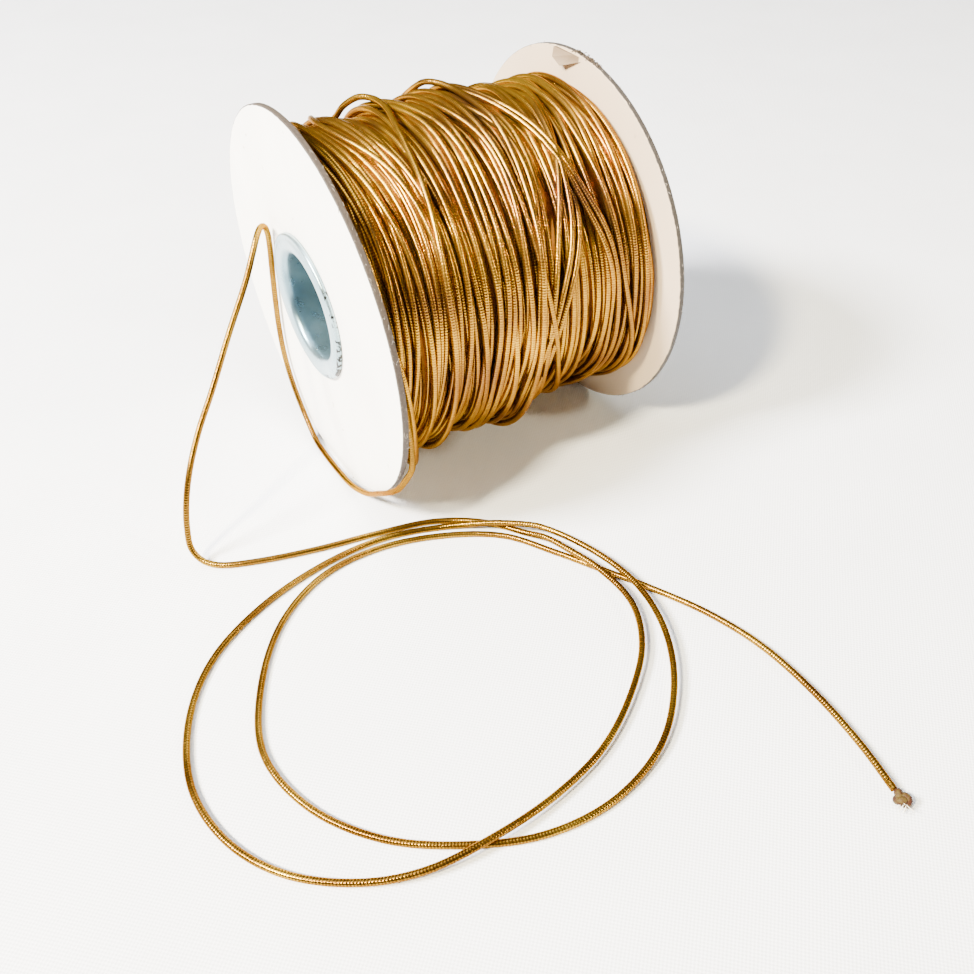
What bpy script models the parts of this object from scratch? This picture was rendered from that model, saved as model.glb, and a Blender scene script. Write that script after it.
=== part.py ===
"""Card reel of gold metallic elastic cord.

Two card discs stand on a flared tin tube, with the cord wound between them. The cord's loose
end comes round the near disc's rim, climbs its face, bends over beside the tube's lip, drops to
the floor and lies there in two loops, with a knot at its tip.

Lengths are in millimetres, +Z is up and the reel's axis runs along Y. The origin is on the
floor, under the middle of the reel.
"""
import math

import bmesh
import bpy
from mathutils import Vector

MM = 0.001
GAP = 0.3

DISC_DIAMETER = 63.5
CARD = 1.0
REEL_WIDTH = 51.5
FLAT_WIDTH = 7.0
LEAN = math.radians(0.7)
RIM_ROUND = 0.15
DISC_STEPS = 96

HUB_SIDE = -0.2
HUB_RISE = 0.85
BORE_DIAMETER = 17.2
TIN = 0.4
LIP_DIAMETER = 24.2
LIP_CREST = 0.95
DISC_HOLE_DIAMETER = 19.8
TUBE_STEPS = 40

CORD_DIAMETER = 1.0
WOUND_STEPS = 96
WOUND_RING_PITCH = 1.02
RIDGE_PITCH = 4.3
RIDGE_HEIGHT = 0.85
RIDGE_WANDER = 3.2
EDGE_FADE = 2.0

DISC_RADIUS = DISC_DIAMETER / 2
AXIS_HEIGHT = math.sqrt(DISC_RADIUS**2 - (FLAT_WIDTH / 2) ** 2)
HUB = (HUB_SIDE, HUB_RISE)
TUBE_RADIUS = BORE_DIAMETER / 2 + TIN
WOUND_HALF = REEL_WIDTH / 2 - CARD - GAP

# The wound form: distance along the reel and radius of the winding there.
WOUND_FORM = (
    (-24.5, 25.4),
    (-21.5, 25.9),
    (-17.0, 26.3),
    (-9.0, 26.5),
    (0.0, 26.6),
    (4.5, 26.7),
    (12.0, 25.7),
    (18.0, 25.5),
    (22.0, 26.0),
    (24.5, 26.2),
)

# Where turns hang slack: along the reel, degrees from the top towards +X, height, reach along
# the reel and reach round it in degrees.
SLACK = (
    (-2.0, 150.0, 0.9, 12.0, 50.0),
    (21.5, 122.0, 1.4, 7.0, 34.0),
    (24.0, 90.0, 1.2, 5.0, 55.0),
    (-16.0, 140.0, 0.9, 3.5, 22.0),
    (4.5, -20.0, 0.5, 3.0, 25.0),
)

# A single turn standing off the winding: along the reel, degrees from the top towards +X, and
# radius from the hub's axis.
STRAY_TURN = (
    (-11.9, -27.0, 25.9),
    (-10.9, -23.5, 27.3),
    (-9.6, -21.5, 28.2),
    (-8.2, -20.5, 28.5),
    (-6.9, -18.5, 28.1),
    (-5.9, -13.0, 27.5),
    (-5.0, -4.0, 27.0),
    (-4.4, 8.0, 26.7),
    (-4.0, 20.0, 26.1),
)

# The torn paper at the far disc's top: across, along and up from the disc's inner face at the
# top of its rim.
TORN_FLAP = (
    (-3.5, 0.4, -0.5),
    (4.8, 0.4, -0.6),
    (-0.8, 0.4, -2.6),
    (-3.3, -0.9, -0.2),
    (-2.9, -1.5, -1.6),
    (-1.2, -1.2, -2.7),
    (1.6, -0.5, -0.4),
)

# The loose cord's route: x, y and z of points along its middle line.
ROUTE = (
    # off the winding, along the inside of the near disc and round its rim
    (26.6, -23.8, 38.2),
    (27.5, -23.7, 33.5),
    (28.2, -23.7, 29.1),
    (28.8, -23.7, 24.9),
    (29.1, -23.7, 21.2),
    (29.2, -23.9, 17.8),
    (28.2, -24.6, 15.2),
    (26.9, -25.6, 12.7),
    (24.3, -26.35, 10.4),
    (20.5, -26.4, 7.5),
    (14.9, -26.45, 3.4),
    # along the floor under the near disc's face, then up it
    (9.0, -26.7, 1.1),
    (3.5, -26.8, 0.55),
    (-2.2, -26.8, 0.55),
    (-6.8, -26.6, 0.7),
    (-10.6, -26.3, 2.4),
    (-13.5, -26.3, 5.6),
    (-15.7, -26.38, 9.8),
    (-16.8, -26.42, 14.5),
    (-16.6, -26.46, 20.0),
    (-15.3, -26.53, 26.3),
    (-13.55, -26.6, 33.0),
    (-12.1, -26.65, 38.2),
    # the bend over beside the lip, and down to the floor
    (-11.5, -26.8, 40.6),
    (-10.8, -27.3, 42.1),
    (-9.6, -28.3, 42.8),
    (-8.0, -29.6, 42.4),
    (-6.7, -31.0, 40.8),
    (-4.9, -33.6, 37.2),
    (-1.7, -39.0, 30.7),
    (1.8, -44.4, 24.1),
    (4.7, -48.7, 19.4),
    (7.3, -52.1, 14.7),
    (8.9, -54.2, 10.2),
    (10.0, -55.4, 5.9),
    (11.1, -55.8, 2.8),
    (12.9, -54.8, 1.0),
    (14.9, -52.5, 0.55),
    # the first loop
    (17.3, -46.9, 0.52),
    (19.9, -38.0, 0.52),
    (21.9, -28.3, 0.52),
    (24.5, -18.9, 0.52),
    (29.3, -11.9, 0.52),
    (35.5, -7.6, 0.8),
    (39.3, -5.9, 1.8),
    (43.6, -4.5, 1.9),
    (50.4, -2.8, 1.9),
    (58.4, -2.8, 1.7),
    (65.4, -6.3, 1.5),
    (71.8, -13.3, 1.3),
    (76.8, -21.9, 1.2),
    (79.3, -31.4, 1.4),
    (80.1, -41.4, 1.9),
    (79.1, -50.0, 1.4),
    (75.9, -57.1, 0.8),
    (69.7, -64.4, 0.52),
    (61.7, -68.8, 0.52),
    (51.9, -70.0, 0.52),
    (41.3, -66.8, 0.52),
    (32.9, -60.5, 0.52),
    (27.0, -50.8, 0.52),
    (23.8, -39.3, 0.52),
    # the second loop
    (23.5, -28.7, 0.52),
    (26.5, -18.6, 0.6),
    (31.1, -12.0, 1.8),
    (34.0, -8.6, 2.2),
    (37.1, -5.5, 2.3),
    (46.3, -1.3, 2.0),
    (55.8, 0.0, 2.0),
    (65.2, -2.0, 1.9),
    (73.8, -7.1, 1.6),
    (80.6, -14.9, 1.2),
    (83.6, -24.9, 0.7),
    (82.7, -34.8, 0.52),
    (78.8, -43.4, 0.52),
    (72.2, -52.2, 0.52),
    (62.9, -58.3, 0.52),
    (52.3, -60.2, 0.52),
    (41.9, -56.6, 0.52),
    (31.7, -49.2, 0.52),
    (26.0, -39.9, 0.52),
    # under both loops and out to the tip
    (25.2, -30.0, 0.52),
    (28.1, -19.9, 0.52),
    (33.8, -11.0, 0.52),
    (41.9, -5.8, 0.52),
    (49.0, -1.9, 0.52),
    (56.9, 2.4, 0.52),
    (65.9, 6.2, 0.8),
    (75.2, 8.4, 1.0),
    (85.4, 8.7, 1.1),
    (95.2, 7.6, 1.2),
    (102.3, 6.0, 1.3),
)
FLOOR_REST = CORD_DIAMETER / 2 + 0.02
SMOOTH_STEPS = 16
LONGEST_STEP = 10.5
SHORTEST_STEP = 1.4
TURN_STEP = math.radians(18)

KNOT_PLACE = (104.0, 5.75, 1.2)
KNOT_SIZE = (2.9, 2.2, 1.9)
KNOT_TURN = math.radians(-8)
KNOT_LUMPS = 0.12


def material(name, colour, roughness, metallic=0.0):
    """A plain finish for one slot."""
    finish = bpy.data.materials.new(name)
    finish.use_nodes = True
    shader = finish.node_tree.nodes["Principled BSDF"]
    shader.inputs["Base Color"].default_value = (*colour, 1.0)
    shader.inputs["Roughness"].default_value = roughness
    shader.inputs["Metallic"].default_value = metallic
    return finish


def add_object(name, data, finish, place=(0.0, 0.0, 0.0), parent=None):
    """Put a mesh or curve in the scene under its name, with its material."""
    thing = bpy.data.objects.new(name, data)
    bpy.context.scene.collection.objects.link(thing)
    data.materials.append(finish)
    thing.location = Vector(place) * MM
    thing.parent = parent
    return thing


def finish_mesh(name, bm, sharp_from=math.radians(40)):
    """Turn a bmesh into a mesh with outward faces, smooth but for its edges."""
    bmesh.ops.recalc_face_normals(bm, faces=bm.faces)
    mesh = bpy.data.meshes.new(name)
    bm.to_mesh(mesh)
    bm.free()
    mesh.shade_smooth()
    mesh.set_sharp_from_angle(angle=sharp_from)
    return mesh


def turned(profile, steps, centre=(0.0, 0.0)):
    """Spin a closed profile of (radius, along) points about the reel's axis."""
    side, rise = centre
    bm = bmesh.new()
    corners = [bm.verts.new(Vector((side, along, rise + radius)) * MM) for radius, along in profile]
    edges = [bm.edges.new((corners[i - 1], corners[i])) for i in range(len(corners))]
    bmesh.ops.spin(
        bm,
        geom=corners + edges,
        cent=Vector((side, 0.0, rise)) * MM,
        axis=(0.0, 1.0, 0.0),
        angle=math.tau,
        steps=steps,
        use_merge=True,
    )
    return bm


def lean(bm):
    """Lean a piece of the reel as its discs lean. Heights count from the discs' middle."""
    for vert in bm.verts:
        vert.co.y -= vert.co.z * math.tan(LEAN)


def disc_mesh(name):
    """A card disc with a slightly rounded rim, an off-centre hole and a worn flat to stand on."""
    hole = DISC_HOLE_DIAMETER / 2
    half = CARD / 2
    profile = (
        (hole, -half),
        (hole, half),
        (DISC_RADIUS - RIM_ROUND, half),
        (DISC_RADIUS, half - RIM_ROUND),
        (DISC_RADIUS, RIM_ROUND - half),
        (DISC_RADIUS - RIM_ROUND, -half),
    )
    bm = turned(profile, DISC_STEPS)
    for vert in bm.verts:
        if math.hypot(vert.co.x, vert.co.z) < (hole + GAP) * MM:
            vert.co.x += HUB_SIDE * MM
            vert.co.z += HUB_RISE * MM
        vert.co.z = max(vert.co.z, -AXIS_HEIGHT * MM)
    lean(bm)
    return finish_mesh(name, bm)


def torn_flap_cutter(disc, finish, parent):
    """The curled corner of torn paper on the far disc's inner face, as a solid to join to it."""
    bm = bmesh.new()
    top = Vector((0.0, -CARD / 2, DISC_RADIUS))
    for corner in TORN_FLAP:
        bm.verts.new((top + Vector(corner)) * MM)
    bmesh.ops.convex_hull(bm, input=bm.verts)
    lean(bm)
    flap = add_object("torn_flap_shape", finish_mesh("torn_flap_shape", bm), finish, disc.location / MM, parent)
    flap.hide_render = True
    flap.display_type = "WIRE"
    join = disc.modifiers.new("torn flap", "BOOLEAN")
    join.operation = "UNION"
    join.object = flap


def lip(side):
    """Half of the tube's section, from its bore round one flared lip to its outside."""
    bore = BORE_DIAMETER / 2
    edge = LIP_DIAMETER / 2
    face = REEL_WIDTH / 2
    half = [
        (bore, face - 2.0),
        (bore + 0.15, face - 0.9),
        (bore + 0.55, face + 0.05),
        (bore + 1.15, face + 0.62),
        (bore + 1.95, face + LIP_CREST),
        (edge - 0.75, face + LIP_CREST - 0.08),
        (edge - 0.2, face + LIP_CREST - 0.3),
        (edge, face + GAP + 0.1),
        (edge - 0.15, face + GAP),
        (bore + 1.6, face + GAP + 0.05),
        (bore + 0.95, face - 0.1),
        (TUBE_RADIUS + 0.08, face - 0.95),
        (TUBE_RADIUS, face - 2.0),
    ]
    return [(radius, side * along) for radius, along in half]


def tube_mesh(name):
    """The tin tube with a flared lip at each end."""
    far = lip(1)
    near = lip(-1)
    bm = turned(far + near[::-1], TUBE_STEPS, HUB)
    lean(bm)
    return finish_mesh(name, bm)


def form_radius(along):
    """The winding's plain radius at a distance along the reel."""
    for (start, low), (end, high) in zip(WOUND_FORM, WOUND_FORM[1:]):
        if along <= end:
            share = max(0.0, along - start) / (end - start)
            ease = share * share * (3 - 2 * share)
            return low + (high - low) * ease
    return WOUND_FORM[-1][1]


def hump(distance, reach):
    """1 at no distance, easing to 0 at the reach."""
    share = min(1.0, abs(distance) / reach)
    return 0.5 + 0.5 * math.cos(math.pi * share)


def wound_radius(along, turn):
    """The winding's radius, with its slack and with bundles of turns that cross as ridges."""
    radius = form_radius(along)
    for slack_along, slack_turn, height, reach, turn_reach in SLACK:
        off = (math.degrees(turn) - slack_turn + 180.0) % 360.0 - 180.0
        radius += height * hump(along - slack_along, reach) * hump(off, turn_reach)
    right = along + RIDGE_PITCH * turn / math.tau + RIDGE_WANDER * math.sin(turn + 0.6)
    left = along - RIDGE_PITCH * turn / math.tau - 0.8 * RIDGE_WANDER * math.sin(2 * turn - 0.9)
    ridges = max(abs(math.cos(math.pi * right / RIDGE_PITCH)), abs(math.cos(math.pi * left / RIDGE_PITCH)))
    edge = min(1.0, (WOUND_HALF - abs(along)) / EDGE_FADE)
    return radius + RIDGE_HEIGHT * (ridges - 0.6) * edge


def wound_mesh(name):
    """The cord as wound: one solid with its slack, its bundled turns and a hole for the tube."""
    inner = TUBE_RADIUS + GAP
    rings = round(2 * WOUND_HALF / WOUND_RING_PITCH)
    outer = [WOUND_HALF - 2 * WOUND_HALF * ring / rings for ring in range(rings + 1)]
    profile = [(inner, -WOUND_HALF), (inner, WOUND_HALF)] + [(form_radius(along), along) for along in outer]
    bm = turned(profile, WOUND_STEPS, HUB)
    middle = Vector((HUB_SIDE, 0.0, HUB_RISE)) * MM
    for vert in bm.verts:
        out = vert.co - middle
        along = out.y / MM
        out.y = 0.0
        if out.length > 2 * inner * MM:
            turn = math.atan2(out.x, out.z)
            out = out.normalized() * wound_radius(along, turn) * MM
            vert.co.x = middle.x + out.x
            vert.co.z = middle.z + out.z
    lean(bm)
    return finish_mesh(name, bm)


def smooth_route(points):
    """A centripetal Catmull-Rom curve through the points, in short steps."""
    route = [Vector(point) for point in points]
    route.insert(0, 2 * route[0] - route[1])
    route.append(2 * route[-1] - route[-2])
    curve = []
    for before, start, end, after in zip(route, route[1:], route[2:], route[3:]):
        knot_1 = math.sqrt((start - before).length)
        knot_2 = knot_1 + math.sqrt((end - start).length)
        knot_3 = knot_2 + math.sqrt((after - end).length)
        for step in range(SMOOTH_STEPS):
            t = knot_1 + (knot_2 - knot_1) * step / SMOOTH_STEPS
            a = before.lerp(start, t / knot_1)
            b = start.lerp(end, (t - knot_1) / (knot_2 - knot_1))
            c = end.lerp(after, (t - knot_2) / (knot_3 - knot_2))
            d = a.lerp(b, t / knot_2)
            e = b.lerp(c, (t - knot_1) / (knot_3 - knot_1))
            curve.append(d.lerp(e, (t - knot_1) / (knot_2 - knot_1)))
    curve.append(route[-2])
    for point in curve:
        point.z = max(point.z, FLOOR_REST)
    return curve


def thinned(curve):
    """Keep the points that the bends need, and one each LONGEST_STEP on the easy stretches."""
    kept = [curve[0]]
    heading = (curve[1] - curve[0]).normalized()
    for point, following in zip(curve[1:], curve[2:]):
        step = (point - kept[-1]).length
        ahead = (following - point).normalized()
        if step >= LONGEST_STEP or (step >= SHORTEST_STEP and heading.angle(ahead) >= TURN_STEP):
            kept.append(point)
            heading = ahead
    kept.append(curve[-1])
    return kept


def cord_curve(name, points):
    """A round cord along the points, with closed ends."""
    curve = bpy.data.curves.new(name, "CURVE")
    curve.dimensions = "3D"
    curve.bevel_depth = CORD_DIAMETER / 2 * MM
    curve.bevel_resolution = 2
    curve.use_fill_caps = True
    spline = curve.splines.new("POLY")
    spline.points.add(len(points) - 1)
    for spot, point in zip(spline.points, points):
        spot.co = (*(point * MM), 1.0)
    return curve


def stray_turn_cutter(wound, finish, parent):
    """The turn that stands off the winding near its top, as a solid to join to it."""
    points = []
    for along, degrees, radius in STRAY_TURN:
        turn = math.radians(degrees)
        rise = HUB_RISE + radius * math.cos(turn)
        points.append(Vector((HUB_SIDE + radius * math.sin(turn), along - rise * math.tan(LEAN), rise)))
    curve = cord_curve("stray_turn_route", points)
    route = bpy.data.objects.new("stray_turn_route", curve)
    bpy.context.scene.collection.objects.link(route)
    bpy.context.view_layer.update()
    evaluated = route.evaluated_get(bpy.context.evaluated_depsgraph_get())
    mesh = bpy.data.meshes.new_from_object(evaluated)
    bpy.data.objects.remove(route)
    mesh.materials.clear()
    shape = add_object("stray_turn_shape", mesh, finish, (0.0, 0.0, 0.0), parent)
    shape.hide_render = True
    shape.display_type = "WIRE"
    join = wound.modifiers.new("stray turn", "BOOLEAN")
    join.operation = "UNION"
    join.object = shape


def knot_mesh(name):
    """The small lumpy knot at the cord's tip."""
    bm = bmesh.new()
    bmesh.ops.create_icosphere(bm, subdivisions=2, radius=0.5)
    for vert in bm.verts:
        lumps = math.sin(7.0 * vert.co.x + 2.0 * vert.co.z) * math.cos(6.0 * vert.co.y - vert.co.x)
        vert.co *= 1.0 + KNOT_LUMPS * lumps
        vert.co = Vector((vert.co.x * KNOT_SIZE[0], vert.co.y * KNOT_SIZE[1], vert.co.z * KNOT_SIZE[2])) * MM
        vert.co.z = max(vert.co.z, (0.02 - KNOT_PLACE[2]) * MM)
    return finish_mesh(name, bm)


def build():
    """Make every piece of the reel."""
    for thing in list(bpy.data.objects):
        bpy.data.objects.remove(thing)

    card = material("card", (0.86, 0.84, 0.80), 0.85)
    tin = material("tin", (0.62, 0.70, 0.74), 0.28, 1.0)
    gold = material("gold_cord", (0.72, 0.45, 0.13), 0.38, 0.8)
    tip = material("cord_tip", (0.45, 0.29, 0.16), 0.7)

    reel = bpy.data.objects.new("reel", None)
    bpy.context.scene.collection.objects.link(reel)
    reel.location = (0.0, 0.0, AXIS_HEIGHT * MM)

    disc_offset = (REEL_WIDTH - CARD) / 2
    add_object("near_disc", disc_mesh("near_disc"), card, (0.0, -disc_offset, 0.0), reel)
    far_disc = add_object("far_disc", disc_mesh("far_disc"), card, (0.0, disc_offset, 0.0), reel)
    torn_flap_cutter(far_disc, card, reel)

    add_object("core_tube", tube_mesh("core_tube"), tin, parent=reel)

    wound = add_object("wound_cord", wound_mesh("wound_cord"), gold, parent=reel)
    stray_turn_cutter(wound, gold, reel)

    add_object("loose_cord", cord_curve("loose_cord", thinned(smooth_route(ROUTE))), gold)

    knot = add_object("cord_end_knot", knot_mesh("cord_end_knot"), tip, KNOT_PLACE)
    knot.rotation_euler.z = KNOT_TURN


build()
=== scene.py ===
"""A card reel wound with gold metallic elastic cord, dressed for its portrait.

The winding is laid turn by turn over a round base: each turn rests on those beneath it and
bridges the hollows between them. The loose end comes off the winding, passes round the near
disc's rim and lies on the floor in two loops. Lengths are in metres, and +Z is up.
"""
import math
import random

import bpy
import numpy as np
from mathutils import Matrix, Vector


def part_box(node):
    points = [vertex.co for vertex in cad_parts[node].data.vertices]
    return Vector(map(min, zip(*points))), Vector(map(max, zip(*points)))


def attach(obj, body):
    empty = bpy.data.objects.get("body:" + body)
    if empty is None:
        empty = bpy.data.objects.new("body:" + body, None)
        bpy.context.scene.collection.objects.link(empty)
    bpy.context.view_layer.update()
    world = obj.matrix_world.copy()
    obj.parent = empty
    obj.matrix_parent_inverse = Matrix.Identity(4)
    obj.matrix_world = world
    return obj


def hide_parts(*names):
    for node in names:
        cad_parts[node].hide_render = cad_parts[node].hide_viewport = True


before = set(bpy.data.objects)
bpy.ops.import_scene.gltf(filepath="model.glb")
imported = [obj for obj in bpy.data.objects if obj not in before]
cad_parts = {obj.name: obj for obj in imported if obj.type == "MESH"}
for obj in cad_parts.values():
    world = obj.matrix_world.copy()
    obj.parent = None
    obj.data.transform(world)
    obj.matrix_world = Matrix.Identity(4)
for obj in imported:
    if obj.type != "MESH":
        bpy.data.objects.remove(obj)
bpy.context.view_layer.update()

MM = 0.001
CORD = 1.0 * MM
LEAN = math.tan(math.radians(0.7))
HUB_SIDE = -0.2 * MM
HUB_RISE = 0.85 * MM
CARD = 1.0 * MM

disc_low, disc_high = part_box("near_disc")
DISC_RADIUS = (disc_high.x - disc_low.x) / 2
AXIS_HEIGHT = disc_high.z - DISC_RADIUS
FACE = (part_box("far_disc")[1].y - disc_low.y) / 2 - DISC_RADIUS * LEAN
HUB = Vector((HUB_SIDE, 0.0, AXIS_HEIGHT + HUB_RISE))

# The camera: where it stands, how it is turned, and the frame that it sees.
FRAME_SIDE = 974
SENSOR = 36.0
FOCAL_PIXELS = 985.0
MIDDLE_PIXEL = (528.0, 487.0)
CAMERA_PLACE = (0.135876, -0.071312, 0.11438)
CAMERA_AZIMUTH = math.radians(57.3296)
CAMERA_ELEVATION = math.radians(41.0516)
CAMERA_ROLL = math.radians(-0.3795)

# The loose cord's route: x, y and z of points along its middle line.
ROUTE = (
    # off the winding, along the inside of the near disc and round its rim
    (0.0266, -0.0238, 0.0382),
    (0.0275, -0.0237, 0.0335),
    (0.0282, -0.0237, 0.0291),
    (0.0288, -0.0237, 0.0249),
    (0.0291, -0.0237, 0.0212),
    (0.0292, -0.0239, 0.0178),
    (0.0282, -0.0246, 0.0152),
    (0.0269, -0.0256, 0.0127),
    (0.0243, -0.02635, 0.0104),
    (0.0205, -0.0264, 0.0075),
    (0.0149, -0.02645, 0.0034),
    # along the floor under the near disc's face, then up it
    (0.009, -0.0267, 0.0011),
    (0.0035, -0.0268, 0.00055),
    (-0.0022, -0.0268, 0.00055),
    (-0.0068, -0.0266, 0.0007),
    (-0.0106, -0.0263, 0.0024),
    (-0.0135, -0.0263, 0.0056),
    (-0.0157, -0.02638, 0.0098),
    (-0.0168, -0.02642, 0.0145),
    (-0.0166, -0.02646, 0.02),
    (-0.0153, -0.02653, 0.0263),
    (-0.01355, -0.0266, 0.033),
    (-0.0121, -0.02665, 0.0382),
    # the bend over beside the lip, and down to the floor
    (-0.0115, -0.0268, 0.0406),
    (-0.0108, -0.0273, 0.0421),
    (-0.0096, -0.0283, 0.0428),
    (-0.008, -0.0296, 0.0424),
    (-0.0067, -0.031, 0.0408),
    (-0.0049, -0.0336, 0.0372),
    (-0.0017, -0.039, 0.0307),
    (0.0018, -0.0444, 0.0241),
    (0.0047, -0.0487, 0.0194),
    (0.0073, -0.0521, 0.0147),
    (0.0089, -0.0542, 0.0102),
    (0.01, -0.0554, 0.0059),
    (0.0111, -0.0558, 0.0028),
    (0.0129, -0.0548, 0.001),
    (0.0149, -0.0525, 0.00055),
    # the first loop
    (0.0173, -0.0469, 0.00052),
    (0.0199, -0.038, 0.00052),
    (0.0219, -0.0283, 0.00052),
    (0.0245, -0.0189, 0.00052),
    (0.0293, -0.0119, 0.00052),
    (0.0355, -0.0076, 0.0008),
    (0.0393, -0.0059, 0.0018),
    (0.0436, -0.0045, 0.0019),
    (0.0504, -0.0028, 0.0019),
    (0.0584, -0.0028, 0.0017),
    (0.0654, -0.0063, 0.0015),
    (0.0718, -0.0133, 0.0013),
    (0.0768, -0.0219, 0.0012),
    (0.0793, -0.0314, 0.0014),
    (0.0801, -0.0414, 0.0019),
    (0.0791, -0.05, 0.0014),
    (0.0759, -0.0571, 0.0008),
    (0.0697, -0.0644, 0.00052),
    (0.0617, -0.0688, 0.00052),
    (0.0519, -0.07, 0.00052),
    (0.0413, -0.0668, 0.00052),
    (0.0329, -0.0605, 0.00052),
    (0.027, -0.0508, 0.00052),
    (0.0238, -0.0393, 0.00052),
    # the second loop
    (0.0235, -0.0287, 0.00052),
    (0.0265, -0.0186, 0.0006),
    (0.0311, -0.012, 0.0018),
    (0.034, -0.0086, 0.0022),
    (0.0371, -0.0055, 0.0023),
    (0.0463, -0.0013, 0.002),
    (0.0558, 0.0, 0.002),
    (0.0652, -0.002, 0.0019),
    (0.0738, -0.0071, 0.0016),
    (0.0806, -0.0149, 0.0012),
    (0.0836, -0.0249, 0.0007),
    (0.0827, -0.0348, 0.00052),
    (0.0788, -0.0434, 0.00052),
    (0.0722, -0.0522, 0.00052),
    (0.0629, -0.0583, 0.00052),
    (0.0523, -0.0602, 0.00052),
    (0.0419, -0.0566, 0.00052),
    (0.0317, -0.0492, 0.00052),
    (0.026, -0.0399, 0.00052),
    # under both loops and out to the tip
    (0.0252, -0.03, 0.00052),
    (0.0281, -0.0199, 0.00052),
    (0.0338, -0.011, 0.00052),
    (0.0419, -0.0058, 0.00052),
    (0.049, -0.0019, 0.00052),
    (0.0569, 0.0024, 0.00052),
    (0.0659, 0.0062, 0.0008),
    (0.0752, 0.0084, 0.001),
    (0.0854, 0.0087, 0.0011),
    (0.0952, 0.0076, 0.0012),
    (0.1023, 0.006, 0.0013),
)
ROUTE_STEPS = 10
STRAY_STEPS = 6
ROUTE_SPACING = 0.8 * MM
STRAY_SPACING = 0.7 * MM
FLOOR_REST = CORD / 2 + 0.02 * MM


def make_camera():
    """The camera at the photograph's place, with the small shift that its framing needs."""
    azimuth, elevation, roll = CAMERA_AZIMUTH, CAMERA_ELEVATION, CAMERA_ROLL
    back = Vector((
        math.sin(azimuth) * math.cos(elevation),
        -math.cos(azimuth) * math.cos(elevation),
        math.sin(elevation),
    ))
    right = Vector((math.cos(azimuth), math.sin(azimuth), 0.0))
    up = back.cross(right)
    turned_right = right * math.cos(roll) + up * math.sin(roll)
    turned_up = up * math.cos(roll) - right * math.sin(roll)
    data = bpy.data.cameras.new("portrait_camera")
    data.sensor_width = SENSOR
    data.lens = FOCAL_PIXELS / FRAME_SIDE * SENSOR
    data.shift_x = 0.5 - MIDDLE_PIXEL[0] / FRAME_SIDE
    data.shift_y = MIDDLE_PIXEL[1] / FRAME_SIDE - 0.5
    data.clip_start = 0.01
    data.clip_end = 10.0
    camera = bpy.data.objects.new("portrait_camera", data)
    bpy.context.scene.collection.objects.link(camera)
    turn = Matrix((turned_right, turned_up, back)).transposed()
    camera.matrix_world = Matrix.Translation(CAMERA_PLACE) @ turn.to_4x4()
    bpy.context.scene.camera = camera


def deselect_all():
    """Leave nothing selected, so that an operator acts on its own piece."""
    for thing in bpy.context.selected_objects:
        thing.select_set(False)


def catmull_rom(points, steps):
    """A centripetal Catmull-Rom curve through the points."""
    route = [Vector(point) for point in points]
    route.insert(0, 2 * route[0] - route[1])
    route.append(2 * route[-1] - route[-2])
    curve = []
    for before, start, end, after in zip(route, route[1:], route[2:], route[3:]):
        first = math.sqrt((start - before).length)
        second = first + math.sqrt((end - start).length)
        third = second + math.sqrt((after - end).length)
        for step in range(steps):
            t = first + (second - first) * step / steps
            a = before.lerp(start, t / first)
            b = start.lerp(end, (t - first) / (second - first))
            c = end.lerp(after, (t - second) / (third - second))
            d = a.lerp(b, t / second)
            e = b.lerp(c, (t - first) / (third - first))
            curve.append(d.lerp(e, (t - first) / (second - first)))
    curve.append(route[-2])
    return curve


def evenly(points, spacing):
    """The same line with its points a spacing apart."""
    line = np.array(points, float)
    steps = np.linalg.norm(np.diff(line, axis=0), axis=1)
    along = np.concatenate(([0.0], np.cumsum(steps)))
    count = max(2, round(along[-1] / spacing) + 1)
    wanted = np.linspace(0.0, along[-1], count)
    return np.stack([np.interp(wanted, along, line[:, axis]) for axis in range(3)], axis=1)


def cord_mesh(name, lines, radius, sides_level):
    """Round cords along lines of points, made one mesh that knows the distance along each cord."""
    curve = bpy.data.curves.new(name, "CURVE")
    curve.dimensions = "3D"
    curve.bevel_depth = radius
    curve.bevel_resolution = sides_level
    curve.use_fill_caps = True
    for line in lines:
        spline = curve.splines.new("POLY")
        spline.points.add(len(line) - 1)
        flat = np.ones((len(line), 4))
        flat[:, :3] = line
        spline.points.foreach_set("co", flat.ravel())
    piece = bpy.data.objects.new(name, curve)
    bpy.context.scene.collection.objects.link(piece)
    deselect_all()
    piece.select_set(True)
    bpy.context.view_layer.objects.active = piece
    bpy.ops.object.convert(target="MESH")
    piece = bpy.context.object
    sides = 4 + 2 * sides_level
    distances = []
    for line in lines:
        steps = np.linalg.norm(np.diff(line, axis=0), axis=1)
        distances.append(np.repeat(np.concatenate(([0.0], np.cumsum(steps))), sides))
    along = piece.data.attributes.new("along", "FLOAT", "POINT")
    values = np.concatenate(distances)
    # The caps' vertices come first in the mesh. So for every cord in it each distance is that of
    # two points further on, and zeros fill the end of the list.
    values = np.pad(values, (0, len(piece.data.vertices) - len(values)))
    along.data.foreach_set("value", values.astype(np.float32))
    piece.data.shade_smooth()
    return piece


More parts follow.
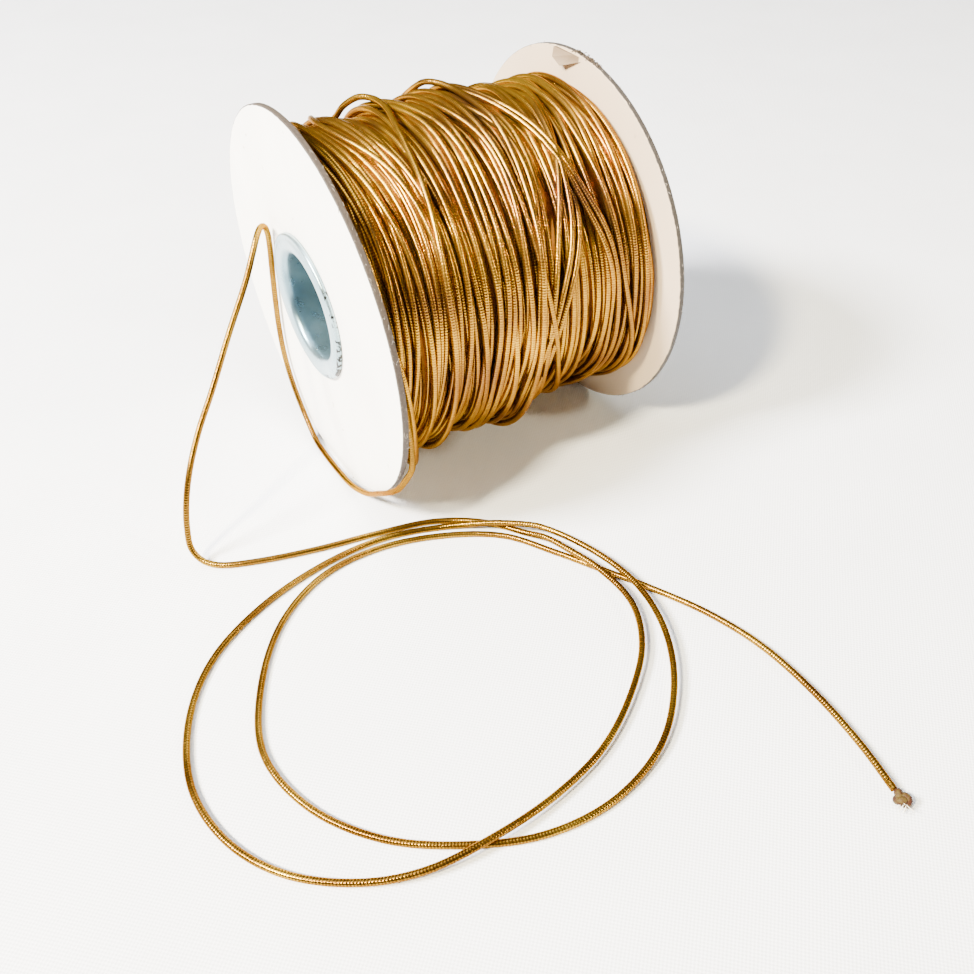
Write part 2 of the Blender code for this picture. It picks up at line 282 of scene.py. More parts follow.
def turned_piece(name, profile, steps, middle):
    """A piece turned about the reel's line: a ring drawn on from place to place and closed."""
    along, radius = profile[0]
    deselect_all()
    bpy.ops.mesh.primitive_circle_add(vertices=steps, radius=radius, rotation=(math.pi / 2, 0, 0))
    piece = bpy.context.object
    piece.name = name
    bpy.ops.object.transform_apply(location=False, rotation=True, scale=False)
    bpy.ops.object.mode_set(mode="EDIT")
    bpy.ops.mesh.select_all(action="SELECT")
    bpy.ops.transform.translate(value=(0, along, 0))
    for next_along, next_radius in profile[1:]:
        share = next_radius / radius
        bpy.ops.mesh.extrude_region_move()
        bpy.ops.transform.resize(value=(share, 1, share), center_override=(0, along, 0))
        bpy.ops.transform.translate(value=(0, next_along - along, 0))
        along, radius = next_along, next_radius
    bpy.ops.mesh.select_all(action="SELECT")
    bpy.ops.mesh.remove_doubles(threshold=1e-6)
    bpy.ops.mesh.normals_make_consistent(inside=False)
    bpy.ops.object.mode_set(mode="OBJECT")
    piece.location = middle
    piece.rotation_euler.x = math.atan(LEAN)
    bpy.ops.object.transform_apply(location=True, rotation=True, scale=True)
    piece.data.shade_smooth()
    return piece


def lean(points):
    """Lean points of the reel as its discs lean."""
    leaned = np.array(points, float)
    leaned[:, 1] -= (leaned[:, 2] - AXIS_HEIGHT) * LEAN
    return leaned


# The winding

WOUND_HALF = FACE - CARD - 0.3 * MM
WOUND_REACH = WOUND_HALF - CORD * 0.55

# Distance along the reel and radius of the winding there.
WOUND_FORM = (
    (-0.0245, 0.0254),
    (-0.0215, 0.0259),
    (-0.0170, 0.0263),
    (-0.0090, 0.0265),
    (0.0000, 0.0266),
    (0.0045, 0.0267),
    (0.0120, 0.0257),
    (0.0180, 0.0255),
    (0.0220, 0.0260),
    (0.0245, 0.0262),
)

# Where turns hang slack: along the reel, degrees from the top towards +X, height, reach along
# the reel and reach round it in degrees.
SLACK = (
    (-0.0020, 150.0, 0.0009, 0.0120, 50.0),
    (0.0215, 122.0, 0.0014, 0.0070, 34.0),
    (0.0240, 90.0, 0.0012, 0.0050, 55.0),
    (-0.0160, 140.0, 0.0009, 0.0035, 22.0),
    (0.0045, -20.0, 0.0005, 0.0030, 25.0),
)

# How the outer turns run: at each of these angles from the top, in degrees, where along the
# reel the turns pass, in mm, one row for each of a few turns from the near disc to the far one.
FLOW_DEGREES = (-20, 0, 20, 40, 60, 80, 100, 120, 150)
FLOW = (
    (-23.9, -23.9, -23.9, -23.9, -23.9, -23.9, -23.9, -23.9, -23.9),
    (-21.8, -21.2, -20.6, -20.4, -20.6, -21.0, -21.2, -21.2, -21.4),
    (-19.6, -19.2, -18.0, -17.5, -17.6, -18.0, -18.6, -19.0, -19.2),
    (-17.5, -17.0, -15.2, -14.0, -14.3, -15.5, -16.5, -17.0, -17.2),
    (-15.5, -14.8, -13.2, -12.4, -12.8, -13.5, -14.0, -14.5, -15.0),
    (-12.0, -12.0, -11.5, -11.0, -11.2, -12.0, -12.0, -11.5, -12.0),
    (-8.0, -8.5, -8.4, -8.4, -8.6, -9.0, -9.5, -9.0, -8.0),
    (-6.0, -5.0, -4.4, -5.0, -5.5, -5.8, -6.8, -7.0, -6.5),
    (-3.4, -3.0, -2.2, -2.4, -2.8, -3.4, -4.0, -4.8, -4.5),
    (-0.5, 0.0, 1.2, 1.0, 0.2, -0.5, -1.0, -1.5, -1.0),
    (2.5, 3.0, 4.2, 3.5, 2.2, 1.5, 0.6, 0.0, 0.5),
    (5.0, 6.0, 6.8, 6.0, 4.5, 3.6, 2.6, 2.5, 3.0),
    (8.0, 8.5, 9.2, 8.5, 7.0, 5.5, 5.2, 6.0, 6.5),
    (12.5, 11.5, 10.8, 10.5, 10.0, 9.0, 8.6, 9.0, 9.5),
    (15.0, 14.0, 12.8, 12.5, 12.2, 12.0, 12.0, 12.0, 12.5),
    (17.5, 17.0, 16.2, 15.6, 15.5, 15.4, 15.2, 15.5, 16.0),
    (19.5, 19.2, 19.0, 18.6, 18.6, 18.8, 18.6, 18.6, 19.0),
    (21.5, 21.3, 21.5, 21.4, 21.5, 21.4, 21.3, 21.2, 21.4),
    (23.9, 23.9, 23.9, 23.9, 23.9, 23.9, 23.9, 23.9, 23.9),
)

# The passes of cord along the reel, first to last: number of turns, how far they keep to the
# flow above, how far they slant to and fro in mm, where that starts in degrees, and drift in mm.
PASSES = (
    (36, -0.6, 1.6, 20.0, 0.7),
    (40, 0.5, 1.4, 200.0, 0.7),
    (38, 1.0, 0.4, 300.0, 0.5),
    (30, 0.9, 0.9, 120.0, 0.8),
)

# The last turns, which lie across the others: degrees from the top and mm along the reel.
CROSSING_TURNS = (
    ((-15, -1.4), (40, -1.6), (70, -2.0), (90, -2.2), (100, -3.2), (109, -4.4),
     (120, -4.9), (145, -4.8)),
    ((-15, -7.4), (1, -5.5), (10, -4.7), (25, -4.6), (45, -4.9), (70, -4.7),
     (90, -5.4), (100, -6.7), (130, -7.0)),
    ((-15, -6.0), (3, -3.4), (15, -2.6), (30, -2.3), (50, -2.6), (75, -3.4),
     (86, -4.0), (97, -5.2), (130, -6.0)),
    ((-12, -1.2), (0, -0.9), (12, 0.8), (23, 1.8), (40, 1.6), (60, 0.4),
     (90, -0.6), (120, -1.0), (145, -1.0)),
    ((-12, 3.4), (0, 3.2), (11, 4.2), (18, 5.6), (30, 6.4), (45, 5.6),
     (60, 3.4), (75, 1.6), (90, 0.4), (120, -1.4)),
    ((-15, 14.8), (0, 14.4), (20, 13.2), (40, 12.4), (60, 11.7), (73, 8.4),
     (86, 5.6), (105, 2.2), (130, 1.2)),
    ((-10, 17.4), (1, 17.0), (16, 15.0), (30, 13.0), (41, 10.6), (50, 9.2),
     (61, 6.6), (77, 3.7), (105, 1.6)),
    ((-10, 16.2), (5, 15.6), (20, 13.6), (35, 12.0), (48, 10.8), (60, 10.2),
     (77, 5.8), (95, 2.2), (109, 0.1), (140, -0.5)),
    ((0, 2.0), (40, 2.0), (70, 2.2), (80, 2.6), (89, 3.3), (100, 4.2),
     (113, 5.8), (122, 7.4), (135, 8.8), (150, 9.4)),
    ((-10, 17.2), (30, 17.4), (60, 17.6), (80, 18.0), (92, 18.6), (100, 19.6),
     (113, 20.6), (125, 21.0), (145, 21.2)),
    ((-15, 5.0), (3, 7.1), (14, 9.2), (24, 10.6), (33, 11.3), (42, 12.0),
     (55, 13.4), (66, 15.0), (80, 15.8), (120, 16.0)),
    ((-15, 6.0), (3, 8.0), (14, 10.2), (29, 11.8), (38, 12.4), (46, 13.3),
     (55, 14.6), (63, 16.0), (72, 16.7), (120, 17.5)),
    ((-10, -18.6), (8, -17.4), (19, -15.0), (32, -13.6), (45, -13.0), (60, -13.2),
     (90, -13.6), (120, -14.0)),
    ((-5, -20.0), (15, -18.7), (28, -18.2), (46, -17.6), (60, -17.0), (75, -17.2),
     (100, -17.6), (125, -18.0), (150, -18.3), (178, -18.5)),
)

# Turns laid last that hang clear in places: degrees from the top, mm along the reel and how far
# they stand off the turns under them, in mm. Below nought they dive between those turns.
STRAY_TURNS = (
    ((-150, -12.8, -1.3), (-138, -12.7, -0.4), (-125, -12.6, 0), (-60, -11.9, 0), (-36, -11.4, 0),
     (-30, -11.2, 0), (-26, -10.9, 0.4), (-23, -10.4, 0.8), (-20, -9.6, 1.1), (-17, -8.6, 1.1),
     (-13, -7.8, 0.7), (-8, -7.5, 0.3), (-2, -7.8, 0.1), (8, -9.0, 0), (26, -10.5, 0),
     (42, -11.8, 0), (55, -13.0, 0), (70, -13.9, 0), (90, -14.3, 0), (115, -14.7, 0),
     (140, -14.9, 0), (160, -15.0, -0.4), (172, -15.1, -1.2)),
    ((-150, 3.4, -1.3), (-138, 3.3, -0.4), (-125, 3.2, 0), (-60, 2.8, 0), (-32, 2.4, 0),
     (-26, 2.2, 0), (-22, 2.3, 0.5), (-18, 2.8, 0.9), (-14, 3.6, 0.9), (-9, 4.4, 0.6),
     (-3, 4.8, 0.2), (8, 4.9, 0), (20, 5.0, 0), (34, 4.6, 0), (50, 3.5, 0),
     (66, 2.2, 0), (80, 1.3, 0), (110, 0.2, 0), (140, -0.4, 0), (160, -0.6, -0.4),
     (172, -0.7, -1.2)),
    ((72, -23.4, -1.3), (82, -23.3, -0.6), (92, -23.1, 0), (104, -22.9, 0.3), (116, -22.1, 0.8),
     (127, -21.1, 1.2), (137, -19.9, 1.2), (148, -18.7, 0.8), (161, -17.7, 0.1), (176, -17.2, -1.2)),
    ((76, -22.8, -1.3), (88, -22.6, -0.5), (100, -22.3, 0), (112, -21.8, 0.3), (122, -21.2, 0.6),
     (133, -20.1, 0.7), (144, -18.8, 0.5), (158, -17.6, 0), (172, -17.0, -1.2)),
    ((84, -2.9, -1.3), (96, -3.1, -0.5), (108, -3.4, 0), (120, -3.6, 0.3), (130, -3.6, 0.5),
     (140, -3.2, 0.5), (154, -2.4, 0), (170, -1.8, -1.2)),
)

# The last stretch on the winding, before the loose end's first point.
LEAD = (
    (-150, -20.4, -1.3), (-138, -20.4, -0.4), (-125, -20.4, 0), (-60, -20.7, 0), (-40, -21.0, 0),
    (-15, -21.8, 0), (0, -22.3, 0), (20, -22.8, 0), (40, -23.2, 0), (56, -23.4, 0.1),
    (66, -23.5, 0.3),
)

TURN_STEPS = 120
STEP_DEGREES = 360.0 / TURN_STEPS
CELL = 0.1 * MM
BUILD_UP = 3.9 * MM
CREST = 0.12 * MM
LEVELLING = 3
NESTLE = 0.4 * MM
BRIDGE_STEPS = 6
LAYER_RISE = 0.8 * MM
SQUEEZE = 0.55
LAY_OVERLAP = 8
SLIDE_COST = 0.15
WINDING_SEED = 20

# The drift of the turns along the reel: how many turns a sway takes, and its share.
SWAYS = ((6.7, 0.8), (2.9, 0.9), (1.45, 0.75), (0.72, 0.35), (0.46, 0.12))


def form_radius(along):
    """The winding's plain radius at each distance along the reel."""
    places = [place for place, radius in WOUND_FORM]
    radii = [radius for place, radius in WOUND_FORM]
    return np.interp(along, places, radii)


def slack_height(along, turn):
    """How far slack turns lift the winding there."""
    height = np.zeros(np.broadcast(along, turn).shape)
    for place, degrees, rise, reach, turn_reach in SLACK:
        off = (np.degrees(turn) - degrees + 180.0) % 360.0 - 180.0
        near = 0.5 + 0.5 * np.cos(np.pi * np.clip(np.abs(along - place) / reach, 0, 1))
        round_it = 0.5 + 0.5 * np.cos(np.pi * np.clip(np.abs(off) / turn_reach, 0, 1))
        height = height + rise * near * round_it
    return height


def smooth_line(values, spread):
    """Smooth a row of values over neighbouring steps."""
    steps = np.arange(-3 * spread, 3 * spread + 1)
    weights = np.exp(-0.5 * (steps / spread) ** 2)
    weights /= weights.sum()
    padded = np.pad(values, 3 * spread, mode="edge")
    return np.convolve(padded, weights, mode="valid")


def drift(rng, count, amount):
    """A slow random drift, a value for each of a number of steps."""
    t = np.arange(count) / TURN_STEPS
    total = np.zeros(count)
    for period, share in SWAYS:
        total += share * np.sin(math.tau * t / period + rng.uniform(0, math.tau))
        total += 0.7 * share * np.sin(math.tau * t / (period * 1.37) + rng.uniform(0, math.tau))
    return total * amount


def flow_places(fraction, degrees):
    """Where turns at a fraction of the way along the reel pass, at each angle."""
    rows = []
    fine = np.arange(TURN_STEPS) * STEP_DEGREES
    for row in FLOW:
        values = np.interp(fine, FLOW_DEGREES, row, period=360.0)
        rows.append(smooth_line(np.tile(values, 3), 3)[TURN_STEPS:2 * TURN_STEPS])
    table = np.array(rows) * MM
    level = np.clip(fraction, 0, 1) * (len(FLOW) - 1)
    low = np.minimum(level.astype(int), len(FLOW) - 2)
    column = np.rint(degrees / STEP_DEGREES).astype(int) % TURN_STEPS
    return table[low, column] * (1 - (level - low)) + table[low + 1, column] * (level - low)


def pass_places(rng, index, turns, keep, slant, slant_start, drift_amount):
    """Where each step of one pass lies along the reel, before it settles."""
    count = turns * TURN_STEPS + 1
    fraction = np.arange(count) / (count - 1)
    if index % 2:
        fraction = 1 - fraction
    degrees = np.arange(count) * STEP_DEGREES
    mean_row = np.array([sum(row) / len(row) for row in FLOW]) * MM
    plain = np.interp(fraction * (len(FLOW) - 1), np.arange(len(FLOW)), mean_row)
    along = plain + keep * (flow_places(fraction, degrees) - plain)
    turn = np.radians(degrees + slant_start)
    along = along + slant * MM * (np.sin(turn + 40 * along) + 0.45 * np.sin(2 * turn - 90 * along))
    room = np.clip((WOUND_REACH - np.abs(plain)) / (4 * MM), 0.1, 1.0)
    along = along + drift(rng, count, drift_amount * MM) * room
    return np.clip(along, -WOUND_REACH, WOUND_REACH), np.arange(count)


def crossing_places():
    """Where each step of the last turns lies along the reel, before it settles."""
    degrees = []
    places = []
    for turn, points in enumerate(CROSSING_TURNS):
        degrees += [360.0 * turn + angle for angle, place in points]
        places += [place * MM for angle, place in points]
    first = math.ceil(degrees[0] / STEP_DEGREES)
    last = math.floor(degrees[-1] / STEP_DEGREES)
    steps = np.arange(first, last + 1)
    along = smooth_line(np.interp(steps * STEP_DEGREES, degrees, places), 3)
    return np.clip(along, -WOUND_REACH, WOUND_REACH), steps


def bridge(radius):
    """Pull a stretch of cord taut, so that it bridges the hollows under it."""
    step = math.tau / TURN_STEPS
    taut = radius.copy()
    count = len(radius)
    for before in range(1, BRIDGE_STEPS + 1):
        for after in range(1, BRIDGE_STEPS + 1):
            left = radius[:count - before - after]
            right = radius[before + after:]
            whole = math.sin((before + after) * step)
            span = left * math.sin(before * step) + right * math.sin(after * step)
            chord = left * right * whole / span
            middle = slice(before, count - after)
            taut[middle] = np.maximum(taut[middle], chord)
    return smooth_line(taut, 2)


class Heap:
    """The heights of the cord laid so far, by angle round the reel and cell along it."""

    def __init__(self, base_rise):
        self.cells = round(2 * WOUND_HALF / CELL) + 1
        self.half = round(CORD / 2 / CELL)
        self.reach = np.arange(-self.half, self.half + 1)
        self.round_top = np.sqrt(np.maximum((CORD / 2) ** 2 - (self.reach * CELL) ** 2, 0.0))
        places = np.linspace(-WOUND_HALF, WOUND_HALF, self.cells)
        angles = math.tau * np.arange(TURN_STEPS) / TURN_STEPS
        self.form = form_radius(places)[None, :] + slack_height(places[None, :], angles[:, None])
        self.heights = self.form - BUILD_UP + base_rise

    def columns(self, along):
        """The cells under a cord at each place along the reel."""
        cell = np.rint((along + WOUND_HALF) / CELL).astype(int)
        cell = np.clip(cell, self.half, self.cells - 1 - self.half)
        return cell[:, None] + self.reach[None, :]

    def rest(self, rows, along):
        """The radius at which a cord's middle rests on what is laid."""
        under = self.heights[rows[:, None], self.columns(along)]
        return (under + self.round_top[None, :]).max(axis=1)

    def settle(self, rows, along):
        """Let a cord slide a little sidewise into the lowest hollow beside it."""
        slides = np.arange(-4, 5) * CELL
        tried = [self.rest(rows, along + slide) + abs(slide) * SLIDE_COST for slide in slides]
        best = slides[np.argmin(np.array(tried), axis=0)]
        return along + np.clip(smooth_line(best, 5), -NESTLE, NESTLE)

    def squeezed(self, rows, along, radius, level):
        """Press a cord that stands proud of its layer down towards it, as a taut cord does."""
        plain = form_radius(along) + slack_height(along, np.radians(rows * STEP_DEGREES)) + level
        return radius - SQUEEZE * np.maximum(radius - plain, 0.0)

    def lay(self, rows, along, radius):
        """Add a laid cord to the heights."""
        top = radius[:, None] + self.round_top[None, :]
        np.maximum.at(self.heights, (rows[:, None], self.columns(along)), top)


def lay_cord(heap, places, steps):
    """Lay one length of cord turn by turn and give its line of points."""
    settled = places.copy()
    radii = np.zeros(len(places))
    level = (heap.heights - heap.form).mean() + LAYER_RISE
    for first in range(0, len(places) - 1, TURN_STEPS):
        last = min(first + TURN_STEPS + LAY_OVERLAP, len(places))
        rows = steps[first:last] % TURN_STEPS
        along = heap.settle(rows, places[first:last])
        radius = bridge(heap.squeezed(rows, along, heap.rest(rows, along), level))
        if first:
            share = np.clip(np.arange(last - first) / LAY_OVERLAP, 0, 1)
            before = np.where(radii[first:last] > 0, radii[first:last], radius)
            radius = radius * share + before * (1 - share)
            along = along * share + settled[first:last] * (1 - share)
        settled[first:last] = along
        radii[first:last] = radius
        kept = slice(0, min(TURN_STEPS, last - first))
        heap.lay(rows[kept], along[kept], radius[kept])
    turn = np.radians(steps * STEP_DEGREES)
    line = (HUB.x + radii * np.sin(turn), settled, HUB.z + radii * np.cos(turn))
    return lean(np.stack(line, axis=1))


def levelled(short_by):
    """How much to raise the ground under the turns, smoothly, where they came out too low."""
    rows = np.array([smooth_line(row, 15) for row in short_by])
    columns = np.tile(rows, (3, 1)).T
    rise = np.array([smooth_line(column, 6) for column in columns]).T
    return rise[TURN_STEPS:2 * TURN_STEPS]


def lay_winding():
    """Lay every pass of cord, each turn on those beneath it: a line per pass, and the heap."""
    base_rise = 0.0
    for attempt in range(LEVELLING):
        rng = random.Random(WINDING_SEED)
        heap = Heap(base_rise)
        lines = []
        for index, values in enumerate(PASSES):
            lines.append(lay_cord(heap, *pass_places(rng, index, *values)))
        lines.append(lay_cord(heap, *crossing_places()))
        base_rise = base_rise + levelled(heap.form + CREST - heap.heights)
    return lines, heap


def stray_line(heap, points):
    """The line of a turn laid last, which hangs clear in places."""
    degrees, places, lifts = zip(*points)
    first = math.ceil(degrees[0] / STEP_DEGREES)
    last = math.floor(degrees[-1] / STEP_DEGREES)
    steps = np.arange(first, last + 1)
    along = np.interp(steps * STEP_DEGREES, degrees, [place * MM for place in places])
    lift = np.interp(steps * STEP_DEGREES, degrees, [height * MM for height in lifts])
    along = np.clip(along, -WOUND_REACH, WOUND_REACH)
    rows = steps % TURN_STEPS
    radius = bridge(heap.rest(rows, along)) + lift
    heap.lay(rows, along, radius)
    turn = np.radians(steps * STEP_DEGREES)
    line = np.stack((HUB.x + radius * np.sin(turn), along, HUB.z + radius * np.cos(turn)), axis=1)
    return [tuple(point) for point in lean(line)]


def smooth_stray(points):
    """A stray turn's points as one smooth line."""
    kept = points[:-1:2] + points[-1:]
    return evenly(catmull_rom(kept, STRAY_STEPS), STRAY_SPACING)


# The knot at the tip, the frayed fibres round it and the fibres on the cards' raw rims.

KNOT_MIDDLE = (103.75 * MM, 5.8 * MM, 1.3 * MM)
KNOT_REACH = (0.3 * MM, 0.2 * MM, 0.36 * MM)
KNOT_CORD = 0.55 * MM
KNOT_STEPS = 72
FRAY_COUNT = 8
FRAY_LENGTH = 1.2 * MM
FRAY_CURL = 0.9 * MM
FRAY_LOWEST = 0.08 * MM
FRAY_STEPS = 8
FRAY_RADIUS = 0.06 * MM
RIM_STEPS = 5
RIM_DROOP = 0.35
RIM_RADIUS = 0.035 * MM
TORN_RADIUS = 0.05 * MM
FIBRE_SEED = 7

# Each fringe: the disc's outer face, the way into the card, how many fibres, the first and last
# angle from the top in degrees, and the longest fibre.
NEAR_FRINGE = (-FACE, 1, 150, 20, 175, 0.9 * MM)
FAR_FRINGE = (FACE, -1, 110, -20, 150, 0.7 * MM)
TORN_FRINGE = (FACE, -1, 170, 2, 14, 0.9 * MM)


def knot_line():
    """A small pulled-tight knot in the cord."""
    points = []
    for step in range(KNOT_STEPS + 1):
        t = math.tau * step / KNOT_STEPS
        points.append((
            KNOT_MIDDLE[0] + KNOT_REACH[0] * (math.sin(t) + 2 * math.sin(2 * t)),
            KNOT_MIDDLE[1] + KNOT_REACH[1] * (math.cos(t) - 2 * math.cos(2 * t)),
            KNOT_MIDDLE[2] - KNOT_REACH[2] * math.sin(3 * t),
        ))
    return evenly(points, 0.15 * MM)


def drawn(rng, *ranges):
    """A vector with each part drawn from its own range."""
    return Vector([rng.uniform(low, high) for low, high in ranges])


def fray_lines(rng):
    """Loose fibres that curl out of the knot's end."""
    lines = []
    for number in range(FRAY_COUNT):
        start = Vector(KNOT_MIDDLE) + drawn(rng, (-0.2, 1.2), (-0.8, 0.5), (-0.5, 0.6)) * MM
        heading = drawn(rng, (0.2, 1.0), (-1.0, 0.5), (-0.3, 0.5)).normalized()
        curl = drawn(rng, (-0.4, 0.3), (-1.0, 0.4), (-0.5, 0.2))
        reach = FRAY_LENGTH * rng.uniform(0.5, 1.0)
        points = []
        for step in range(FRAY_STEPS + 1):
            share = step / FRAY_STEPS
            point = start + heading * reach * share + curl * FRAY_CURL * share * share
            point.z = max(point.z, FRAY_LOWEST)
            points.append(tuple(point))
        lines.append(evenly(points, 0.12 * MM))
    return lines


def rim_fibres(rng, face, inward, count, low_degrees, high_degrees, length):
    """Short fibres that stand off a card's raw rim."""
    lines = []
    for number in range(count):
        turn = math.radians(rng.uniform(low_degrees, high_degrees))
        out = Vector((math.sin(turn), 0.0, math.cos(turn)))
        round_rim = Vector((math.cos(turn), 0.0, -math.sin(turn)))
        start = Vector((0.0, face + inward * rng.uniform(0.05, 0.95) * CARD, AXIS_HEIGHT))
        start += out * (DISC_RADIUS - 0.05 * MM)
        heading = out * rng.uniform(0.1, 0.8)
        heading += round_rim * rng.choice((-1, 1)) * rng.uniform(0.4, 1.0)
        heading.y += rng.uniform(-0.5, 0.5)
        reach = length * rng.uniform(0.4, 1.0)
        points = []
        for step in range(RIM_STEPS + 1):
            share = step / RIM_STEPS
            point = start + heading * reach * share - out * RIM_DROOP * reach * share * share
            points.append(tuple(point))
        lines.append(evenly(lean(points), 0.15 * MM))
    return lines


# The tin eyelet through the reel: place along the reel and radius, round its closed outline.

CORE_RADIUS = 9.4 * MM
GROUND_DEPTH = 1.3 * MM
LIP = (
    (25.0, 8.6),
    (25.6, 8.66),
    (26.05, 8.85),
    (26.35, 9.15),
    (26.55, 9.55),
    (26.66, 10.0),
    (26.7, 10.5),
    (26.66, 10.9),
    (26.58, 11.15),
    (26.5, 11.3),
    (26.52, 11.45),
    (26.56, 11.65),
    (26.5, 11.9),
    (26.35, 12.05),
    (26.1, 12.1),
    (25.82, 12.1),
    (25.82, 11.7),
    (26.05, 11.0),
    (26.1, 10.3),
    (26.0, 9.6),
    (25.7, 9.15),
    (25.2, 9.0),
)
LIP_LINE = [(along * MM, radius * MM) for along, radius in LIP]
TIN_PROFILE = LIP_LINE + [(-along, radius) for along, radius in reversed(LIP_LINE)] + LIP_LINE[:1]

# Finishes. Each gold is given as its deep, middle and pale shades, and each fibre as two shades.

WOUND_GOLD = ((0.1, 0.04, 0.024), (0.26, 0.126, 0.015), (0.7, 0.41, 0.017))
LOOSE_GOLD = ((0.045, 0.016, 0.003), (0.15, 0.072, 0.009), (0.4, 0.25, 0.025))
SHADED_GOLD = ((0.12, 0.04, 0.006), (0.2, 0.08, 0.012), (0.28, 0.13, 0.025))
GOLD_GLINT = (0.8, 0.5, 0.15, 1.0)
RING_PITCH = 0.42 * MM
RING_DEPTH = 0.025 * MM

CARD_WHITE = (0.9, 0.875, 0.84)
CARD_CREAM = (0.52, 0.405, 0.28)
NEAR_RIM = (0.05, 0.035, 0.026)
FAR_RIM = (0.04, 0.032, 0.027)
CARD_SPECK = (0.35, 0.27, 0.2)
# The torn flap's brown back, and the paler brown painted on its tip as light against the shade
# there.
TORN_DARK = (0.15, 0.1, 0.056)
TORN_LIT_TIP = (0.24, 0.18, 0.12)
CREASE_ACROSS = (0.97, 0.25)
CREASE_OFFSET = 14.0 * MM
CREASE_HALF = 1.2 * MM

# The tin inside the tube is painted darker as shade; outside it is the tin's own colour.
TIN_INSIDE_SHADED = ((0.10, 0.18, 0.23), (0.2, 0.31, 0.36))
TIN_OUTSIDE = ((0.26, 0.38, 0.43), (0.42, 0.54, 0.58))
# Painted shade and dark reflection, in ragged patches on the lip's edge.
TIN_EDGE_SHADE_AND_REFLECTION = (0.02, 0.02, 0.02)

KNOT_BROWN = ((0.06, 0.04, 0.01), (0.034, 0.011, 0.005))
FIBRE_WHITE = ((0.8, 0.76, 0.7), (0.55, 0.48, 0.4))
FIBRE_GREY = ((0.3, 0.26, 0.22), (0.12, 0.1, 0.085))
FIBRE_DARK = ((0.09, 0.065, 0.045), (0.04, 0.03, 0.022))

CLOTH = (0.88, 0.9, 0.975)
THREAD_PITCH = 0.62 * MM

FLOOR_SIDE = 3.0
WORLD_COLOUR = (0.84, 0.91, 1.0)
WORLD_STRENGTH = 0.12
SOFT_WHITE = (1.0, 0.97, 0.93)
WARM_LIGHT = (1.0, 0.86, 0.56)
COOL_LIGHT = (0.84, 0.92, 1.0)

# Each light's name, its place, the point it faces, its width, height, power and colour.
LIGHTS = (
    ("left_wall", (-0.1, -0.74, 0.68), (0.02, -0.01, 0.02), 0.24, 0.18, 61.0, SOFT_WHITE),
    ("high_window", (0.17, -0.44, 0.5), (0.02, -0.01, 0.02), 0.07, 0.07, 17.0, WARM_LIGHT),
    ("right_strip", (0.5, 0.33, 0.42), (0.02, -0.01, 0.02), 0.05, 0.12, 3.3, WARM_LIGHT),
    ("ceiling", (-0.1, -0.2, 0.8), (0.02, -0.01, 0.0), 0.5, 0.5, 6.5, COOL_LIGHT),
    ("low_card", (0.6, 0.32, 0.16), (0.02, -0.01, 0.03), 0.08, 0.06, 1.3, WARM_LIGHT),
)


def new_finish(name):
    """An empty finish: its material, its node tree and its shader."""
    finish = bpy.data.materials.new(name)
    finish.use_nodes = True
    tree = finish.node_tree
    return finish, tree, tree.nodes["Principled BSDF"]


def add_node(tree, kind, inputs=(), **settings):
    """Add a node, set its properties and feed its inputs with values or sockets."""
    node = tree.nodes.new(kind)
    for key, value in settings.items():
        setattr(node, key, value)
    for key, value in dict(inputs).items():
        if isinstance(value, bpy.types.NodeSocket):
            tree.links.new(value, node.inputs[key])
        else:
            node.inputs[key].default_value = value
    return node


def ramp(tree, factor, stops):
    """A colour ramp over a factor, from (place, colour) stops."""
    node = add_node(tree, "ShaderNodeValToRGB", {"Fac": factor})
    elements = node.color_ramp.elements
    elements[0].position, elements[0].color = stops[0][0], (*stops[0][1], 1.0)
    elements[1].position, elements[1].color = stops[-1][0], (*stops[-1][1], 1.0)
    for place, colour in stops[1:-1]:
        element = elements.new(place)
        element.color = (*colour, 1.0)
    return node.outputs["Color"]


def maths(tree, operation, first, second=0.0):
    """One sum of two values or sockets."""
    node = add_node(tree, "ShaderNodeMath", {0: first, 1: second}, operation=operation)
    return node.outputs["Value"]


def bumped(tree, shader, height, strength, distance):
    """Press a height into a finish as fine relief."""
    settings = {"Height": height, "Strength": strength, "Distance": distance}
    bump = add_node(tree, "ShaderNodeBump", settings)
    tree.links.new(bump.outputs["Normal"], shader.inputs["Normal"])


def noise(tree, place, scale, detail):
    """A socket of soft noise over a place."""
    settings = {"Vector": place, "Scale": scale, "Detail": detail}
    return add_node(tree, "ShaderNodeTexNoise", settings).outputs["Fac"]


